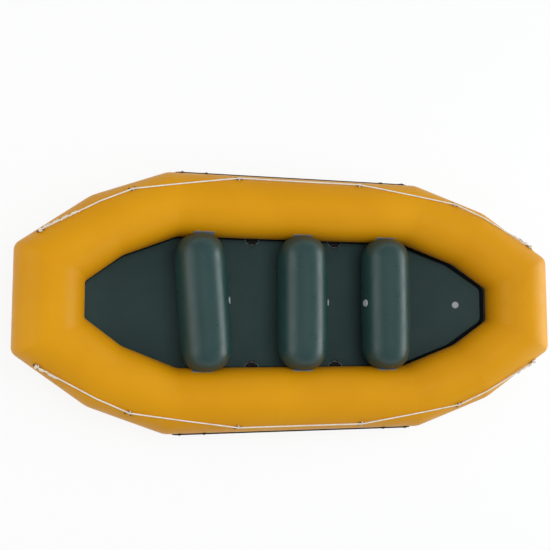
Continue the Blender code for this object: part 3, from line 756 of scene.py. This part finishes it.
def bent_pad(name, length, width, thickness, corner, bend=tube_radius, root=0.0012, edge=0.0006):
    """A thin plate with round corners bent round a radius, its outer side up."""
    square = [Vector((x * length / 2, y * width / 2)) for x, y in ((1, 1), (-1, 1), (-1, -1), (1, -1))]
    outline = densified(rounded_corners(square, corner), 0.008)
    layers = [(1.0, -root), (1.0, thickness - edge), (1.0 - edge / width, thickness)]
    layers += [(share, thickness) for share in (0.9, 0.75, 0.6, 0.45, 0.3, 0.15, 0.01)]
    rings = []
    for share, height in layers:
        ring = []
        for p in outline:
            turn = p.y * share / bend
            reach = bend + height
            ring.append(Vector((p.x * share, reach * sin(turn), reach * cos(turn) - bend)))
        rings.append(ring)
    return lofted(name, rings)


def ribbon(name, line, width, thickness):
    """A strap: a (y, z) line given a thickness and carried along X, with softened edges."""
    edge = thickness * 0.35
    half = width / 2
    rings = []
    for before, p, after in zip([line[0], *line], line, [*line[1:], line[-1]]):
        side = (after - before).normalized()
        out = Vector((-side.y, side.x))
        top = p + out * thickness
        section = [
            (-half + edge, p), (half - edge, p), (half, p + out * edge), (half, top - out * edge),
            (half - edge, top), (-half + edge, top), (-half, top - out * edge), (-half, p + out * edge),
        ]
        rings.append([Vector((x, q.x, q.y)) for x, q in section])
    return lofted(name, rings)


def loop_strap(patch_thickness):
    """A strap that lies on the patch, arches over the ring's bar and lies down again."""
    arch = ring_wire_radius + loop_clearance
    bar = patch_thickness + arch + fit_gap
    foot = [(loop_tail, patch_thickness), (loop_flat, patch_thickness), (arch + loop_foot, bar * 0.5)]
    line = [Vector((-y, z)) for y, z in foot]
    for turn in spread(pi, 0, 8):
        line.append(Vector((arch * cos(turn), bar + arch * sin(turn))))
    line += [Vector(point) for point in reversed(foot)]
    return ribbon("loop strap", line, loop_length, loop_wall)


def swept(name, points, radius_at, sides=12, closed=False, sharp=50):
    """A round section carried along points without twist; radius_at gives the radius by point and side."""
    count = len(points)
    tangents = []
    for k in range(count):
        before = points[k - 1] if k or closed else points[k]
        after = points[(k + 1) % count] if k < count - 1 or closed else points[k]
        tangents.append((after - before).normalized())
    normal = tangents[0].orthogonal().normalized()
    frames = []
    for tangent in tangents:
        normal = (normal - tangent * normal.dot(tangent)).normalized()
        frames.append((normal.copy(), tangent.cross(normal)))
    twist = 0.0
    if closed:
        first, last = frames[0][0], frames[-1]
        twist = math.atan2(first.dot(last[1]), first.dot(last[0]))
    rings = []
    for k, (n, b) in enumerate(frames):
        ring = []
        for j in range(sides):
            turn = tau * j / sides + twist * k / count
            ring.append(points[k] + (n * cos(turn) + b * sin(turn)) * radius_at(k, j))
        rings.append(ring)
    return lofted(name, rings, cyclic=closed, sharp=sharp)


def ring_line():
    """Centreline of a D ring: its bar along X, its bow towards +Y, its corners rounded."""
    points = []
    for corner, before, after in (
        (Vector((-ring_half_width, 0, 0)), Vector((0, 1, 0)), Vector((1, 0, 0))),
        (Vector((ring_half_width, 0, 0)), Vector((-1, 0, 0)), Vector((0, 1, 0))),
    ):
        for t in spread(0, 1, 5):
            points.append(corner + before * ring_corner * (1 - t) ** 2 + after * ring_corner * t**2)
    for turn in spread(0, pi, 22):
        x, y = ring_half_width * cos(turn), ring_half_width * sin(turn)
        points.append(Vector((x, ring_leg + y, 0)))
    return points


def line_ring_seat(number, x_sign, y_sign):
    run, share = line_ring_run_shares[number]
    return tube_seat(run, share, line_ring_elevations[number], x_sign, y_sign)


def floor_patch_meshes():
    """A round patch cut straight where the tube covers it, and a pale bead on its round edge: a painted
    highlight where that edge catches the light.
    """
    radius, offset, top = floor_patch_radius, floor_patch_offset, floor_patch_thickness
    dip = math.asin((floor_patch_cut - offset) / radius)
    arc = []
    for turn in spread(-dip, pi + dip, 48):
        arc.append(Vector((radius * cos(turn), radius * sin(turn) - offset, 0)))
    outline = arc + [arc[-1].lerp(arc[0], n / 12) for n in range(1, 12)]
    layers = [(1.0, -0.0008), (1.0, top * 0.7), (0.99, top), (0.7, top), (0.4, top), (0.02, top)]
    pad = lofted("floor patch", [[p * share + up * height for p in outline] for share, height in layers])
    # A thin pale bead along the round edge, a painted highlight of the light on the patch's rim
    line = [p * 0.985 + up * (top - 0.0002) for p in arc[2:-2]]
    return pad, swept("patch highlight bead", line, lambda k, j: floor_patch_bead_radius, sides=8)


def add_rings():
    ring = swept("ring", ring_line(), lambda k, j: ring_wire_radius, sides=14, closed=True)
    line_patch = bent_pad(
        "line patch", line_patch_length, line_patch_width, line_patch_thickness, patch_corner)
    line_strap = loop_strap(line_patch_thickness)
    floor_pad, floor_pad_highlight = floor_patch_meshes()
    floor_strap = loop_strap(floor_patch_thickness)
    for label, x_sign, y_sign in quarters:
        for number in range(3):
            seat = line_ring_seat(number, x_sign, y_sign)
            ending = f"{label}_{number + 1}"
            add_piece(f"line_patch_{ending}", line_patch, tube_fabric, seat)
            add_piece(f"line_loop_{ending}", line_strap, tube_fabric, seat)
            place = seat @ lifted(line_patch_thickness + ring_stand_off)
            add_piece(f"d_ring_{ending}", ring, steel, place, [f"line_ring_{ending}"])
        x = floor_ring_places[label.split("_")[0]]
        y = side_centre_y - tube_radius - floor_ring_inset
        origin = Vector((x, y_sign * y, floor_underside + floor_thickness))
        seat = seat_matrix(origin, up, Vector((0, -y_sign, 0)))
        add_piece(f"floor_patch_{label}", floor_pad, floor_patch_fabric, seat)
        # The bead's pale grey is a painted highlight along the patch's round edge
        add_piece(f"floor_patch_bead_{label}", floor_pad_highlight, cap_grey, seat)
        add_piece(f"floor_loop_{label}", floor_strap, webbing, seat)
        place = seat @ lifted(floor_patch_thickness + ring_stand_off)
        add_piece(f"deck_ring_{label}", ring, steel, place, [f"floor_ring_{label}"],
                  f"ring_{label}")


def add_thwart_patches():
    width = (thwart_patch_high - thwart_patch_low) * tube_radius
    pad = bent_pad("thwart patch", thwart_patch_length, width, thwart_patch_thickness, patch_corner)
    elevation = pi - (thwart_patch_low + thwart_patch_high) / 2
    for label, (x, _) in thwart_places.items():
        x_sign = 1 if x > chamber_split_x else -1
        for side, y_sign in flanks:
            seat = tube_seat(0, x * x_sign / first_bend_x, elevation, x_sign, y_sign)
            add_piece(f"thwart_patch_{label}_{side}", pad, patch_fabric, seat)


def smooth_points(route, step):
    """Points at even steps along a smooth curve through the route."""
    extended = [2 * route[0] - route[1], *route, 2 * route[-1] - route[-2]]
    fine = []
    splits = 60
    for k in range(1, len(extended) - 2):
        a, b, c, d = extended[k - 1:k + 3]
        first, second, third = c - a, 2 * a - 5 * b + 4 * c - d, 3 * b - a - 3 * c + d
        for n in range(splits):
            t = n / splits
            fine.append((2 * b + first * t + second * t**2 + third * t**3) / 2)
    fine.append(route[-1])
    points = [fine[0]]
    for point in fine[1:]:
        if (point - points[-1]).length >= step:
            points.append(point)
    return points


def taut(points, held_places):
    """The line drawn tight over the tubes between the places that hold it."""
    held = {0, len(points) - 1}
    for place in held_places:
        k = min(range(len(points)), key=lambda n: (points[n] - place).length)
        points[k] = place
        held.add(k)
    for _ in range(taut_rounds):
        for k in range(len(points)):
            if k not in held:
                points[k] = tube_clear((points[k - 1] + points[k + 1]) / 2, line_stand_off)
    return points


def braided(points, radius, sides, pitch=0.013, plaits=4):
    """Radius of a braided rope: rows of small plaits that cross each other."""
    reached = [0.0]
    for a, b in zip(points, points[1:]):
        reached.append(reached[-1] + (b - a).length)

    def radius_at(k, j):
        turn = tau * j / sides * plaits
        climb = tau * reached[k] / pitch
        return radius * (0.94 + 0.06 * sin(turn + climb) * sin(turn - climb))

    return radius_at


def rope_mesh(name, points, radius, sides=16):
    return swept(name, points, braided(points, radius, sides), sides=sides, sharp=80)


def knot_points(radius):
    """An overhand knot about Z."""
    scale = radius * 0.95
    points = []
    for t in full_turn(knot_steps):
        x = sin(t) + 2 * sin(2 * t)
        y = cos(t) - 2 * cos(2 * t)
        points.append(Vector((scale * x, scale * y, -1.1 * scale * sin(3 * t))))
    return points


def hitch_points(line_at):
    """Turns of thin cord round the ring's bow and the line across it, in the frame of the ring's seat."""
    bow = Vector((0, ring_leg + ring_half_width, line_patch_thickness + ring_stand_off))
    grown = hitch_radius + fit_gap
    points = []
    for n in range(hitch_turns * hitch_steps + 1):
        turn = tau * n / hitch_steps
        share = 0.5 + 0.5 * sin(turn)
        reach = (ring_wire_radius + grown) * (1 - share) + (line_radius + grown) * share
        centre = bow.lerp(line_at, share)
        x = (n / hitch_steps - hitch_turns / 2) * 2.1 * hitch_radius
        points.append(Vector((x, centre.y + reach * cos(turn), centre.z + reach * sin(turn))))
    return points


def tail_points(points, count, swing, pitch):
    """A tail laid back along the line's end, which crosses over it from side to side."""
    tail = []
    for k in range(count):
        here = points[k]
        along = (points[k + 1] - here).normalized()
        skin = tube_clear(here, 1.0)
        away = (skin - here).normalized()
        across = along.cross(away).normalized()
        phase = tau * k / pitch
        beside = cos(phase) * swing
        over = abs(sin(phase)) * (line_radius + tail_radius)
        tail.append(here + across * beside + away * over)
    return tail


def add_grab_lines():
    """Braided lines over the rings, with hitches at the rings and knots and tails at the ends."""
    bow = [Vector(point) for point in grab_line_half_route]
    route = [reflected(point, -1, 1) for point in bow[:0:-1]] + bow
    for side, y_sign in flanks:
        over_rings = [reflected(bow[k], x_sign, y_sign) for k in line_stations_at_rings for x_sign in (1, -1)]
        loose = smooth_points([reflected(point, 1, y_sign) for point in route], taut_step)
        points = smooth_points(taut(loose, over_rings), line_step)
        add_piece(f"grab_rope_{side}", rope_mesh(f"line {side}", points, line_radius), rope,
                  replaces=[f"grab_line_{side}"])
        for end, x_sign, ordered in (("stern", -1, points), ("bow", 1, points[::-1])):
            count, pitch = long_tail if (end, side) == ("stern", "port") else short_tail
            tail = tail_points(ordered[tail_start:], count, line_radius + tail_radius * 0.8, pitch)
            tail_mesh = rope_mesh("tail", tail, tail_radius, 12)
            add_piece(f"rope_tail_{end}_{side}", tail_mesh, rope)
            tip = ordered[0]
            outward = tip - ordered[3]
            place = Matrix.Translation(tip + outward.normalized() * line_radius)
            place = place @ outward.to_track_quat("Y", "Z").to_matrix().to_4x4()
            knot = swept("knot", knot_points(tail_radius), lambda k, j: tail_radius, 10, True, 80)
            add_piece(f"rope_knot_{end}_{side}", knot, rope, place)
            for number in range(3):
                seat = line_ring_seat(number, x_sign, y_sign)
                inverse = seat.inverted()
                nearest = min((inverse @ point for point in points), key=lambda q: abs(q.x) + abs(q.z) * 0.1)
                mesh = swept("hitch", hitch_points(nearest), lambda k, j: hitch_radius, sides=8, sharp=80)
                add_piece(f"rope_hitch_{end}_{side}_{number + 1}", mesh, rope, seat)


def beside_tube(turn, radius, y_sign):
    """A (y, z) point beside the straight tube, by its turn above the equator and its reach from the axis."""
    return Vector((y_sign * (side_centre_y + radius * cos(turn)), tube_radius + radius * sin(turn)))


def strake_mesh(y_sign):
    """A ribbed rubber strip on the tube's side, thinned at its ends."""
    foot = tube_radius + fit_gap
    turns = spread(strake_low, strake_high, strake_steps)
    near_end = (0.94, 0.97, 0.99, 0.997, 1.0)
    stations = [-share for share in reversed(near_end)] + [n / 20 for n in range(-18, 19)] + [*near_end]
    rings = []
    for station in stations:
        end = (1 - abs(station)) * strake_length / 2
        fullness = min(1.0, 0.35 + 0.65 * math.sqrt(min(1.0, end / strake_end_taper)))
        inner = [beside_tube(turn, foot, y_sign) for turn in turns]
        outer = []
        for n, turn in enumerate(turns):
            edge = min(n, strake_steps - n) / strake_steps
            lip = min(1.0, 0.25 + edge * 12)
            rib = 0.72 + 0.28 * abs(sin(pi * strake_ribs * n / strake_steps)) ** 0.5
            outer.append(beside_tube(turn, foot + strake_thickness * lip * rib * fullness, y_sign))
        rings.append([Vector((station * strake_length / 2, p.x, p.y)) for p in inner + outer[::-1]])
    return lofted("strake", rings, sharp=40)


def add_strakes():
    for side, y_sign in flanks:
        mesh = strake_mesh(y_sign)
        add_piece(f"strake_{side}", mesh, rubber, replaces=[f"rub_strake_{side}"])


def grip_mesh():
    """A ribbed rubber grip along X with a flange at each end."""
    radius = handle_grip_radius
    reach = handle_span / 2 + handle_strap_width / 2 + handle_grip_overhang
    inner = handle_span / 2 - handle_strap_width / 2 - 0.006
    flange = [(fit_gap, -reach), (radius * 0.75, -reach), (radius, -reach + 0.002), (radius, -reach + 0.010),
              (radius * 0.9, -reach + 0.012), (radius * 0.9, -inner)]
    ribbed = []
    for share in spread(0, 1, handle_grip_ribs * 6):
        wave = abs(sin(pi * handle_grip_ribs * share)) ** 0.6
        ribbed.append((radius * (0.90 + 0.10 * wave), inner * (2 * share - 1)))
    mesh = revolved("grip", flange + ribbed + [(r, -along) for r, along in reversed(flange)], 28)
    mesh.transform(Matrix.Rotation(pi / 2, 4, "Y"))
    return mesh


def grip_centre(y_sign):
    return beside_tube(handle_grip_turn, tube_radius + handle_finger_gap + handle_grip_radius, y_sign)


def handle_strap_line(y_sign):
    """From the pad's top, over the strake, down to the grip and round it."""
    pad_top = tube_radius + handle_pad_thickness
    over_strake = tube_radius + strake_thickness + 3 * fit_gap
    turns = [(handle_pad_turn + 0.030, pad_top), (handle_pad_turn - 0.045, pad_top)]
    turns += [(strake_high + 0.01, over_strake + 0.0006)]
    turns += [(turn, over_strake) for turn in spread(strake_high, strake_low, 6)[1:]]
    line = [beside_tube(turn, radius, y_sign) for turn, radius in turns]
    centre = grip_centre(y_sign)
    start = line[-1] - centre
    opening = math.atan2(start.y, start.x * y_sign) - handle_strap_wrap_start
    for turn in spread(opening, opening - handle_strap_wrap, 20):
        spoke = Vector((y_sign * cos(turn), sin(turn)))
        line.append(centre + spoke * (handle_grip_radius + fit_gap))
    return line


def add_handles():
    """Moulded handles: pads above the strake, straps over it and round a ribbed grip."""
    pad = bent_pad("handle pad", handle_pad_length, handle_pad_width, handle_pad_thickness, handle_pad_corner,
                   root=-fit_gap, edge=0.002)
    button = revolved("handle button", [
        (0.0065, 0), (0.0065, 0.0012), (0.0055, 0.0022), (0.0025, 0.0025), (fit_gap, 0.0025),
    ], 24)
    grip = grip_mesh()
    for label, x_sign, y_sign in quarters:
        centre = grip_centre(y_sign)
        place = Matrix.Translation((x_sign * handle_x, centre.x, centre.y))
        add_piece(f"grip_{label}", grip, rubber, place, replaces=[f"handle_{label}"])
        strap = ribbon("handle strap", handle_strap_line(y_sign), handle_strap_width,
                       handle_strap_thickness * -y_sign)
        for half, word in ((-1, "aft"), (1, "fore")):
            x = x_sign * handle_x + half * handle_span / 2
            seat = tube_seat(0, x_sign * x / first_bend_x, handle_pad_turn, x_sign, y_sign)
            strap_place = Matrix.Translation((x, 0, 0))
            top = seat @ lifted(handle_pad_thickness + handle_strap_thickness)
            add_piece(f"handle_pad_{label}_{word}", pad, rubber, seat @ lifted(fit_gap))
            add_piece(f"handle_strap_{label}_{word}", strap, webbing, strap_place)
            add_piece(f"handle_button_{label}_{word}", button, rubber, top)


def valve_body_mesh():
    bottom = seat_depth + seat_thickness
    return revolved("valve body", [
        (valve_bore_radius, flange_proud - 0.0004), (valve_bore_radius + 0.0004, flange_proud),
        (flange_radius - flange_proud, flange_proud), (flange_radius - 0.0007, flange_proud - 0.0003),
        (flange_radius - 0.0002, flange_proud - 0.0008), (flange_radius, 0),
        (flange_radius, fit_gap - flange_seat_depth), (barrel_radius, fit_gap - flange_seat_depth),
        (barrel_radius, -barrel_depth), (valve_bore_radius, -barrel_depth), (valve_bore_radius, -bottom),
        (seat_bore_radius, -bottom), (seat_bore_radius, -seat_depth), (valve_bore_radius, -seat_depth),
    ], valve_sides, closed=True)


def half_disc_mesh(side, top):
    """One finger recess of the cap, beside its grip bar."""
    start = math.asin(grip_bar_width / 2 / grip_recess_radius)
    outline = []
    for turn in spread(start, pi - start, 24):
        outline.append((grip_recess_radius * cos(turn), side * grip_recess_radius * sin(turn)))
    heights = (top - grip_recess_depth, top + grip_recess_depth)
    return lofted("finger recess", [[Vector((x, y, height)) for x, y in outline] for height in heights])


def valve_cap_mesh():
    base = flange_proud + fit_gap
    top = base + cap_height
    inner = cap_skirt_radius - cap_skirt_wall
    rounding = []
    for turn in spread(0, pi / 2, 4):
        radius = cap_radius - cap_chamfer * (1 - sin(turn))
        rounding.append((radius, top - cap_chamfer * (1 - cos(turn))))
    mesh = revolved("valve cap", [
        (fit_gap, top), (cap_radius * 0.75, top), *rounding, (cap_radius, base), (cap_skirt_radius, base),
        (cap_skirt_radius, -cap_skirt_depth), (inner, -cap_skirt_depth), (inner, top - cap_roof),
        (fit_gap, top - cap_roof),
    ], 4 * cap_ribs, ribs=cap_ribs, rib_depth=cap_rib_depth, ribbed_from=cap_radius * 0.999)
    flat = Matrix.Identity(4)
    return cut_with(mesh, [(half_disc_mesh(side, top), flat) for side in (-1, 1)], sharp=30)


def valve_plunger_mesh():
    top = -button_top_depth
    bottom = top - button_thickness
    poppet_top = -(seat_depth + seat_thickness + fit_gap)
    poppet_bottom = poppet_top - poppet_thickness
    return revolved("valve plunger", [
        (fit_gap, top), (button_radius - button_edge, top), (button_radius, top - button_edge),
        (button_radius, bottom), (stem_radius, bottom), (stem_radius, poppet_top),
        (poppet_radius, poppet_top), (poppet_radius, poppet_bottom), (fit_gap, poppet_bottom),
    ], 40)


def add_valves(seats):
    """Grey valves on the floor and the thwarts, and black ones on the chambers."""
    shell, cap, plunger = valve_body_mesh(), valve_cap_mesh(), valve_plunger_mesh()
    for label, seat in seats.items():
        grey = label == "floor" or "thwart" in label
        for name, mesh, material, part, body in (
            ("valve_shell", shell.copy(), valve_grey if grey else rubber, "valve_body", "hull"),
            ("cap", cap.copy(), cap_grey if grey else rubber, "valve_cap", f"cap_{label}"),
            ("plunger", plunger, plunger_black, "valve_plunger", f"plunger_{label}"),
        ):
            add_piece(f"{name}_{label}", mesh, material, seat, [f"{part}_{label}"], body)


def add_baffle_looks():
    for name, node in frame["nodes"].items():
        if name.startswith("baffle"):
            node.data.materials.clear()
            node.data.materials.append(baffle_fabric)


def flat_ray_share(finish, share):
    """The share for rays from the camera or off a glossy or clear surface, and none for the rest."""
    rays = finish.tree.nodes.new("ShaderNodeLightPath").outputs
    value = rays["Is Camera Ray"]
    for operation, other in (("MAXIMUM", rays["Is Glossy Ray"]), ("MAXIMUM", rays["Is Transmission Ray"]),
                             ("MULTIPLY", share)):
        step = finish.node("ShaderNodeMath", {0: value, 1: other})
        step.operation = operation
        value = step.outputs[0]
    return value


def add_stage():
    """White ground that keeps the raft's soft shadow and rises to a wall far away."""
    profile = [(0.01, -0.001), (10, -0.001), (24, -0.001), (28, 0.8), (30, 3), (31, 7), (31, 14)]
    rings = [[around(radius, turn, height) for turn in full_turn(96)] for radius, height in profile]
    ground = linked_object("ground", lofted("ground", rings, capped=False))
    white = 0.86
    finish = Finish("ground", (white, white, white), 0.9)
    glow = finish.tree.nodes.new("ShaderNodeEmission")
    mix = finish.node("ShaderNodeMixShader", {
        "Fac": flat_ray_share(finish, white), 1: finish.shader.outputs[0], 2: glow.outputs[0]})
    finish.feed(finish.tree.nodes["Material Output"], {"Surface": mix.outputs[0]})
    ground.data.materials.append(finish.material)


def add_world():
    world = bpy.data.worlds.new("studio")
    bpy.context.scene.world = world
    world.use_nodes = True
    soft = world.node_tree.nodes["Background"]
    soft.inputs["Color"].default_value = (0.94, 0.96, 1.0, 1)
    soft.inputs["Strength"].default_value = 0.50


def add_area_light(name, bearing, lean, distance, size, power, mirrored=True, tint=(1, 1, 1)):
    """A soft box that faces the raft: its bearing from +X and its lean from the vertical in degrees."""
    light = bpy.data.lights.new(name, "AREA")
    light.shape = "RECTANGLE"
    light.color = tint
    light.size, light.size_y = size
    light.energy = power
    thing = linked_object(name, light)
    turn, tilt = radians(bearing), radians(lean)
    away = around(sin(tilt), turn, cos(tilt))
    thing.location = Vector((0, 0, tube_radius)) + away * distance
    thing.rotation_euler = away.to_track_quat("Z", "Y").to_euler()
    thing.visible_camera = False
    thing.visible_glossy = mirrored


def add_lights():
    add_area_light("overhead", 90, 4, 7.5, (5.0, 3.5), 228, mirrored=False)
    add_area_light("stern side", 180, 60, 8.0, (8.0, 4.5), 130)
    add_area_light("bow side", 0, 78, 8.0, (8.0, 6.0), 520, tint=(0.90, 1.0, 1.0))


def add_camera():
    data = bpy.data.cameras.new("camera")
    data.lens = 47.36
    data.sensor_width = 36.0
    data.clip_end = 100
    camera = linked_object("camera", data)
    camera.location = (-1.6259, -0.2619, 5.898)
    camera.rotation_euler = (0.0831, -0.2529, 0.0003)
    bpy.context.scene.camera = camera


add_camera()
add_world()
add_lights()
add_stage()
add_grab_lines()
seats = valve_seats()
add_tubes(seats)
add_floor(seats)
add_floor_shadow_band()
add_thwarts(seats)
add_thwart_patches()
add_rings()
add_strakes()
add_handles()
add_valves(seats)
add_baffle_looks()
bpy.context.scene.view_settings.view_transform = "Standard"
